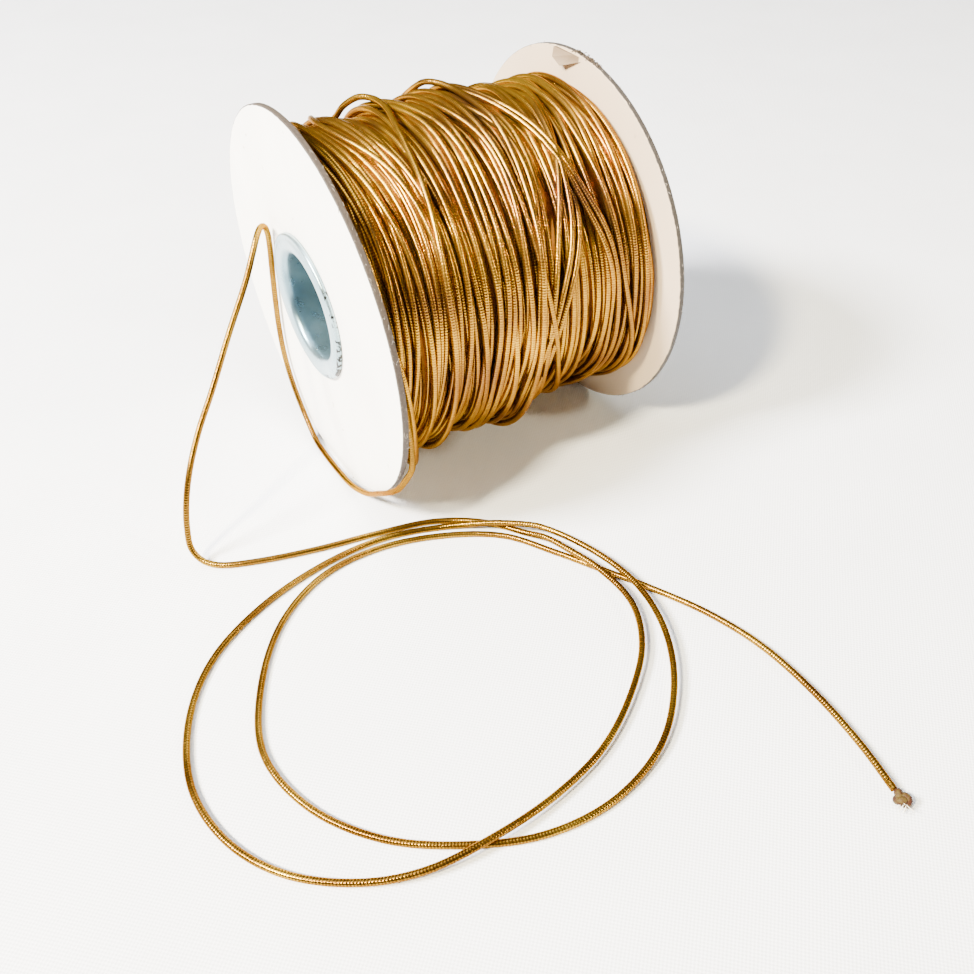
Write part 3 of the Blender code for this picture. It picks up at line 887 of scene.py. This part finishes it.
def gold_finish(name, shades, roughness):
    """Metallic thread wrapped round the cord in fine rings, with painted shade in the grooves
    between the rings and sparkle where it is crushed.
    """
    finish, tree, shader = new_finish(name)
    place = add_node(tree, "ShaderNodeTexCoord").outputs["Object"]
    along = add_node(tree, "ShaderNodeAttribute", attribute_name="along").outputs["Fac"]
    tone = noise(tree, place, 90.0, 1.0)
    flecks = noise(tree, place, 3200.0, 1.0)
    crushed = noise(tree, place, 240.0, 2.0)
    rings = maths(tree, "MULTIPLY", along, math.tau / RING_PITCH)
    shaken = maths(tree, "ADD", rings, maths(tree, "MULTIPLY", flecks, 0.9))
    ridge = maths(tree, "SINE", shaken)
    worn = maths(tree, "MULTIPLY", flecks, maths(tree, "MULTIPLY", crushed, 1.6))
    height = maths(tree, "ADD", maths(tree, "MULTIPLY", ridge, 0.36), worn)
    bumped(tree, shader, height, 1.0, RING_DEPTH)
    fleck_share = maths(tree, "MULTIPLY", flecks, 0.2)
    # Painted shade: the grooves between the rings are coloured deeper and their crests paler.
    groove_shade_share = maths(tree, "MULTIPLY", maths(tree, "ADD", ridge, 1.0), 0.07)
    mixed = maths(tree, "ADD", maths(tree, "MULTIPLY", tone, 0.4), fleck_share)
    mixed = maths(tree, "ADD", mixed, groove_shade_share)
    colour = ramp(tree, mixed, tuple(zip((0.22, 0.38, 0.56), shades)))
    tree.links.new(colour, shader.inputs["Base Color"])
    rough = maths(tree, "ADD", maths(tree, "MULTIPLY", crushed, 0.2), roughness)
    tree.links.new(rough, shader.inputs["Roughness"])
    shader.inputs["Metallic"].default_value = 0.9
    shader.inputs["Specular IOR Level"].default_value = 0.05
    shader.inputs["Specular Tint"].default_value = GOLD_GLINT
    return finish


def fibre_finish(name, shades, roughness):
    """Matt fibre in two shades, in patches."""
    finish, tree, shader = new_finish(name)
    place = add_node(tree, "ShaderNodeTexCoord").outputs["Object"]
    patches = noise(tree, place, 1400.0, 3.0)
    colour = ramp(tree, patches, tuple(zip((0.42, 0.6), shades)))
    tree.links.new(colour, shader.inputs["Base Color"])
    bumped(tree, shader, patches, 0.6, 0.12 * MM)
    shader.inputs["Roughness"].default_value = roughness
    shader.inputs["Specular IOR Level"].default_value = 0.1
    return finish


def mix_colours(tree, factor, first, second):
    """Blend from one colour to another."""
    node = add_node(tree, "ShaderNodeMix", {"Factor": factor}, data_type="RGBA")
    for socket, value in ((node.inputs[6], first), (node.inputs[7], second)):
        if isinstance(value, bpy.types.NodeSocket):
            tree.links.new(value, socket)
        else:
            socket.default_value = (*value, 1.0)
    return node.outputs[2]


def step_up(tree, value, low, high):
    """0 below one value, 1 above another, smooth between."""
    node = add_node(
        tree, "ShaderNodeMapRange", {"Value": value, "From Min": low, "From Max": high},
        interpolation_type="SMOOTHSTEP",
    )
    return node.outputs["Result"]


def round_places(tree, middle_x, middle_z):
    """Sockets of the object coordinates and of the distance from the reel's line."""
    place = add_node(tree, "ShaderNodeTexCoord").outputs["Object"]
    parts = add_node(tree, "ShaderNodeSeparateXYZ", {"Vector": place}).outputs
    side = maths(tree, "SUBTRACT", parts["X"], middle_x)
    rise = maths(tree, "SUBTRACT", parts["Z"], middle_z)
    across_square = maths(tree, "MULTIPLY", side, side)
    up_square = maths(tree, "MULTIPLY", rise, rise)
    radius = maths(tree, "SQRT", maths(tree, "ADD", across_square, up_square))
    return place, side, rise, radius


def card_finish(name, face, rim, rim_start, rim_from=None, torn_under=None, crease=False):
    """Smooth board with a raw fibrous rim, a few specks and perhaps a crease or a torn flap, whose
    brown back is painted paler towards its tip as light against the shade there.
    """
    finish, tree, shader = new_finish(name)
    place, side, rise, radius = round_places(tree, 0.0, AXIS_HEIGHT)
    along = add_node(tree, "ShaderNodeSeparateXYZ", {"Vector": place}).outputs["Y"]
    along = maths(tree, "ADD", along, maths(tree, "MULTIPLY", rise, LEAN))
    grain = noise(tree, place, 900.0, 5.0)
    fibres = noise(tree, place, 2500.0, 2.0)
    tint = noise(tree, place, 60.0, 2.0)
    dirt = noise(tree, place, 520.0, 1.0)
    shade = tuple(0.94 * part for part in face)
    plain = ramp(tree, tint, ((0.35, shade), (0.6, face)))
    specks = maths(tree, "MULTIPLY", step_up(tree, dirt, 0.76, 0.8), 0.5)
    board = mix_colours(tree, specks, plain, CARD_SPECK)
    dark_rim = tuple(0.6 * part for part in rim)
    raw = ramp(tree, fibres, ((0.3, dark_rim), (0.65, rim)))
    ragged = maths(tree, "MULTIPLY", grain, 0.25 * MM)
    rim_place = maths(tree, "ADD", radius, ragged)
    rim_share = step_up(tree, rim_place, rim_start, rim_start + 0.08 * MM)
    if rim_from:
        outer = step_up(tree, maths(tree, "ADD", along, ragged), rim_from, rim_from + 0.1 * MM)
        rim_share = maths(tree, "MULTIPLY", rim_share, outer)
    if torn_under:
        outside = step_up(tree, along, FACE - 0.3 * MM, FACE - 0.2 * MM)
        board = mix_colours(tree, outside, board, CARD_WHITE)
    surface = mix_colours(tree, rim_share, board, raw)
    if torn_under:
        torn = step_up(tree, along, torn_under, torn_under - 0.1 * MM)
        # Painted light: the torn flap's brown back is made paler towards its tip, against the shade
        # on that down-facing tip.
        tip_light_fade = step_up(tree, radius, DISC_RADIUS - 2.4 * MM, DISC_RADIUS - 0.5 * MM)
        flap = mix_colours(tree, tip_light_fade, TORN_LIT_TIP, TORN_DARK)
        surface = mix_colours(tree, torn, surface, flap)
    tree.links.new(surface, shader.inputs["Base Color"])
    fuzz = maths(tree, "MULTIPLY", maths(tree, "MULTIPLY", fibres, rim_share), 1.5)
    height = maths(tree, "ADD", maths(tree, "MULTIPLY", grain, 0.12), fuzz)
    if crease:
        from_side = maths(tree, "MULTIPLY", side, CREASE_ACROSS[0])
        from_rise = maths(tree, "MULTIPLY", rise, CREASE_ACROSS[1])
        across = maths(tree, "SUBTRACT", maths(tree, "ADD", from_side, from_rise), CREASE_OFFSET)
        away = step_up(tree, maths(tree, "ABSOLUTE", across), 0.0, CREASE_HALF)
        fold = maths(tree, "SUBTRACT", 1.0, away)
        height = maths(tree, "ADD", height, maths(tree, "MULTIPLY", fold, 1.3))
    bumped(tree, shader, height, 0.5, 0.1 * MM)
    shader.inputs["Roughness"].default_value = 0.75
    return finish


def tin_finish(name):
    """Bright tin: cool and scuffed, painted darker inside the tube as shade, with painted shade and
    dark reflection in ragged patches along one side of the lip's edge.
    """
    finish, tree, shader = new_finish(name)
    place, side, rise, radius = round_places(tree, HUB.x, HUB.z)
    scuffs = noise(tree, place, 700.0, 3.0)
    broad = noise(tree, place, 110.0, 2.0)
    lip_share = step_up(tree, radius, 8.75 * MM, 9.6 * MM)
    # Painted shade: the tin is coloured darker inside the tube.
    inside = ramp(tree, broad, tuple(zip((0.35, 0.65), TIN_INSIDE_SHADED)))
    outside = ramp(tree, broad, tuple(zip((0.35, 0.65), TIN_OUTSIDE)))
    colour = mix_colours(tree, lip_share, inside, outside)
    # Painted shade and dark reflection: ragged dark patches along the lip's outer edge, on one side
    # only.
    edge = step_up(tree, radius, 11.45 * MM, 11.75 * MM)
    slanted = maths(tree, "SUBTRACT", side, maths(tree, "MULTIPLY", rise, 0.2))
    shaded_side = step_up(tree, slanted, 4 * MM, 9 * MM)
    shade_patches = step_up(tree, scuffs, 0.46, 0.52)
    painted_edge_shade = maths(tree, "MULTIPLY", maths(tree, "MULTIPLY", edge, shaded_side), shade_patches)
    with_edge_shade = mix_colours(tree, painted_edge_shade, colour, TIN_EDGE_SHADE_AND_REFLECTION)
    tree.links.new(with_edge_shade, shader.inputs["Base Color"])
    rough = maths(tree, "ADD", maths(tree, "MULTIPLY", scuffs, 0.2), 0.2)
    tree.links.new(rough, shader.inputs["Roughness"])
    bumped(tree, shader, scuffs, 0.2, 0.05 * MM)
    shader.inputs["Metallic"].default_value = 0.85
    return finish


def cloth_finish(name, colour):
    """Plain pale cloth with a fine weave."""
    finish, tree, shader = new_finish(name)
    place = add_node(tree, "ShaderNodeTexCoord").outputs["Object"]
    parts = add_node(tree, "ShaderNodeSeparateXYZ", {"Vector": place}).outputs
    threads = []
    for axis in ("X", "Y"):
        wave = maths(tree, "MULTIPLY", parts[axis], math.tau / THREAD_PITCH)
        threads.append(maths(tree, "SINE", wave))
    weave = maths(tree, "MULTIPLY", threads[0], threads[1])
    broad = noise(tree, place, 40.0, 3.0)
    tone = maths(tree, "ADD", broad, maths(tree, "MULTIPLY", weave, 0.3))
    shade = tuple(0.93 * part for part in colour)
    tree.links.new(ramp(tree, tone, ((0.2, shade), (0.75, colour))), shader.inputs["Base Color"])
    bumped(tree, shader, weave, 0.35, 0.08 * MM)
    shader.inputs["Roughness"].default_value = 0.9
    return finish


def give(piece, finish):
    """Dress a piece in one finish."""
    piece.data.materials.clear()
    piece.data.materials.append(finish)


def soft_light(name, place, aim, wide, tall, power, colour):
    """An oblong soft light."""
    data = bpy.data.lights.new(name, "AREA")
    data.shape = "RECTANGLE"
    data.size = wide
    data.size_y = tall
    data.energy = power
    data.color = colour
    light = bpy.data.objects.new(name, data)
    bpy.context.scene.collection.objects.link(light)
    light.location = place
    light.rotation_mode = "QUATERNION"
    light.rotation_quaternion = (Vector(aim) - Vector(place)).to_track_quat("-Z", "Y")


make_camera()

wound_gold = gold_finish("gold_thread", WOUND_GOLD, 0.12)
loose_gold = gold_finish("loose_gold_thread", LOOSE_GOLD, 0.1)
shaded_gold = gold_finish("shaded_gold_thread", SHADED_GOLD, 0.3)
near_card = card_finish("near_card", CARD_WHITE, NEAR_RIM, DISC_RADIUS - 0.12 * MM, crease=True)
far_card = card_finish(
    "far_card", CARD_CREAM, FAR_RIM, DISC_RADIUS - 0.3 * MM,
    rim_from=FACE - 0.85 * MM, torn_under=FACE - CARD - 0.1 * MM,
)
tin = tin_finish("tin")
knot_brown = fibre_finish("knot_brown", KNOT_BROWN, 0.6)
fibre_white = fibre_finish("fibre_white", FIBRE_WHITE, 0.8)
fibre_grey = fibre_finish("fibre_grey", FIBRE_GREY, 0.85)
fibre_dark = fibre_finish("fibre_dark", FIBRE_DARK, 0.85)

# The knot and the loose end

rng = random.Random(FIBRE_SEED)
end_knot = cord_mesh("end_knot", [knot_line()], KNOT_CORD, 3)
give(end_knot, knot_brown)
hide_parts("cord_end_knot")
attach(end_knot, "root")

end_fray = cord_mesh("end_fray", fray_lines(rng), FRAY_RADIUS, 1)
give(end_fray, fibre_white)
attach(end_fray, "root")

route = catmull_rom(ROUTE, ROUTE_STEPS)
for point in route:
    point.z = max(point.z, FLOOR_REST)
route = evenly(route, ROUTE_SPACING)
loose = cord_mesh("loose_end", [route], CORD / 2, 3)
give(loose, loose_gold)
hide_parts("loose_cord")
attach(loose, "root")

# The winding and the ground under it

passes, heap = lay_winding()
turns = []
for number, line in enumerate(passes):
    turns.append(cord_mesh(f"wound_pass_{number + 1}", [line], CORD / 2, 2))
strays = [smooth_stray(stray_line(heap, points)) for points in STRAY_TURNS]
lead = stray_line(heap, LEAD) + [tuple(route[0]), tuple(route[1])]
strays.append(smooth_stray(lead))
turns.append(cord_mesh("slack_turns", strays, CORD / 2, 3))
for layer in turns:
    give(layer, wound_gold)
    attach(layer, "root")
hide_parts("wound_cord")

ground = [(along, radius - GROUND_DEPTH) for along, radius in WOUND_FORM]
ground += [(ground[-1][0], CORE_RADIUS), (ground[0][0], CORE_RADIUS), ground[0]]
inner_turns = turned_piece("inner_turns", ground, 96, HUB)
give(inner_turns, shaded_gold)
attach(inner_turns, "root")

# The eyelet, the discs and the fibres on their rims

eyelet = turned_piece("tin_eyelet", TIN_PROFILE, 128, HUB)
give(eyelet, tin)
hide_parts("core_tube")
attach(eyelet, "root")

give(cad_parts["near_disc"], near_card)
give(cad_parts["far_disc"], far_card)

fibres = rim_fibres(rng, *NEAR_FRINGE) + rim_fibres(rng, *FAR_FRINGE)
rim_fray = cord_mesh("rim_fray", fibres, RIM_RADIUS, 0)
give(rim_fray, fibre_grey)
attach(rim_fray, "root")
torn_fray = cord_mesh("torn_fray", rim_fibres(rng, *TORN_FRINGE), TORN_RADIUS, 0)
give(torn_fray, fibre_dark)
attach(torn_fray, "root")

# The floor and the light

deselect_all()
bpy.ops.mesh.primitive_plane_add(size=FLOOR_SIDE, location=(0.0, 0.0, 0.0))
floor = bpy.context.object
floor.name = "floor"
floor.data.materials.append(cloth_finish("floor_cloth", CLOTH))

world = bpy.data.worlds.new("studio")
bpy.context.scene.world = world
world.use_nodes = True
world.node_tree.nodes["Background"].inputs["Color"].default_value = (*WORLD_COLOUR, 1.0)
world.node_tree.nodes["Background"].inputs["Strength"].default_value = WORLD_STRENGTH
for light in LIGHTS:
    soft_light(*light)
